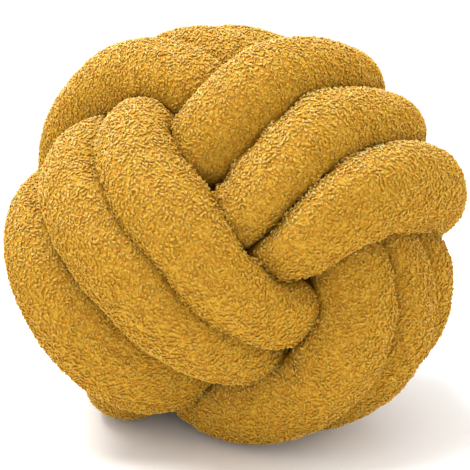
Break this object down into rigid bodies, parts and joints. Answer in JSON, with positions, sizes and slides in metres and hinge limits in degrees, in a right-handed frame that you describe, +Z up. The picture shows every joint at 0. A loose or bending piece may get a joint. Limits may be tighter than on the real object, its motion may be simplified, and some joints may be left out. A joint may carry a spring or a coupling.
{
  "type": "knot cushion",
  "caption": "Ball-shaped throw cushion wound from one stuffed boucle tube in a woven fist knot, with a small flat spot to rest on.",
  "frame": {"origin": "on the resting surface, under the middle of the ball's outer box", "axes": "+Z up, across the ball's shortest side; +Y away from the side that the picture shows, along the ball's longest side"},
  "size_m": [0.281, 0.2892, 0.2537],
  "materials": {
    "boucle": "mustard looped pile, matt"
  },
  "bodies": {
    "root": {"knot_tube": "boucle"}
  },
  "joints": []
}
